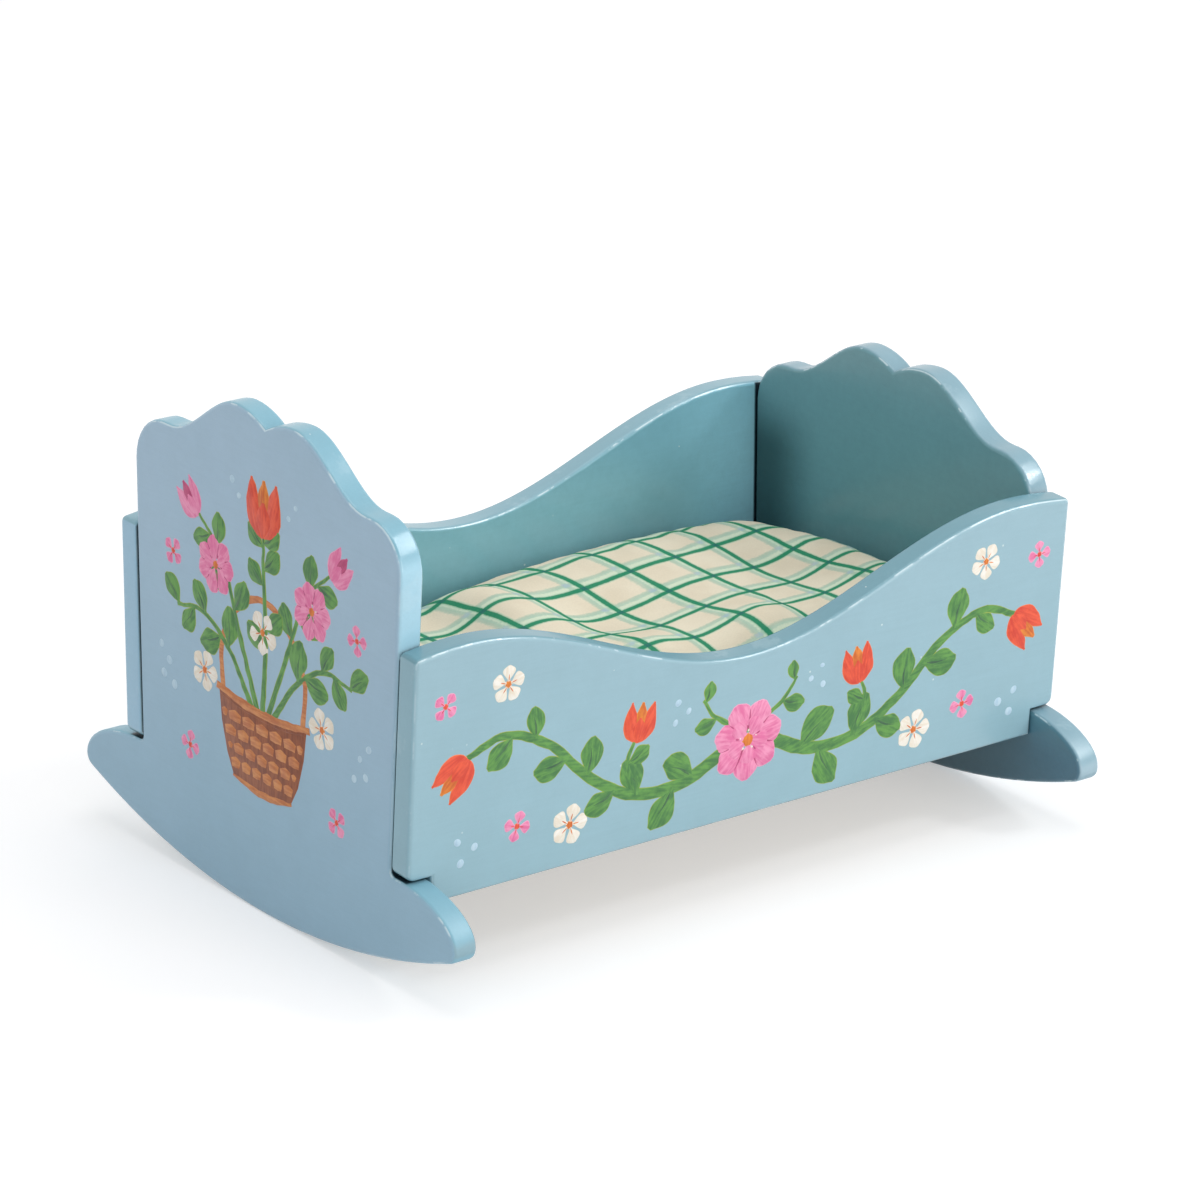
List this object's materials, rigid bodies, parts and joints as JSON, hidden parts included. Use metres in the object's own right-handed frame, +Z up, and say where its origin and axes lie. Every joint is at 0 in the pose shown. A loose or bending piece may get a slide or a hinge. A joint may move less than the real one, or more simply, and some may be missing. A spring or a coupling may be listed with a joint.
{
  "type": "doll cradle",
  "caption": "Small painted wooden rocking cradle with scalloped end boards on curved rockers, scooped side panels and a loose stuffed mattress.",
  "frame": {"origin": "on the floor, under the middle of the cradle", "axes": "+X along the cradle towards its lower foot end, +Z up, +Y towards the back side panel"},
  "size_m": [0.18, 0.1366, 0.1119],
  "materials": {
    "painted_wood": "satin paint",
    "plain_wood": "bare",
    "check_cloth": "woven cotton, printed check",
    "stuffing": "loose fibre"
  },
  "bodies": {
    "cradle": {"head_board": "painted_wood", "foot_board": "painted_wood", "side_panel_front": "painted_wood", "side_panel_back": "painted_wood", "base_panel": "plain_wood", "dowel_head_front_low": "plain_wood", "dowel_head_front_high": "plain_wood", "dowel_head_back_low": "plain_wood", "dowel_head_back_high": "plain_wood", "dowel_foot_front_low": "plain_wood", "dowel_foot_front_high": "plain_wood", "dowel_foot_back_low": "plain_wood", "dowel_foot_back_high": "plain_wood"},
    "mattress": {"mattress_top_cloth": "check_cloth", "mattress_bottom_cloth": "check_cloth", "mattress_filling": "stuffing"}
  },
  "joints": [
    {"name": "mattress_lift", "type": "slide", "parent": "cradle", "child": "mattress", "axis": [0, 0, 1], "range_m": [0, 0.1]}
  ]
}
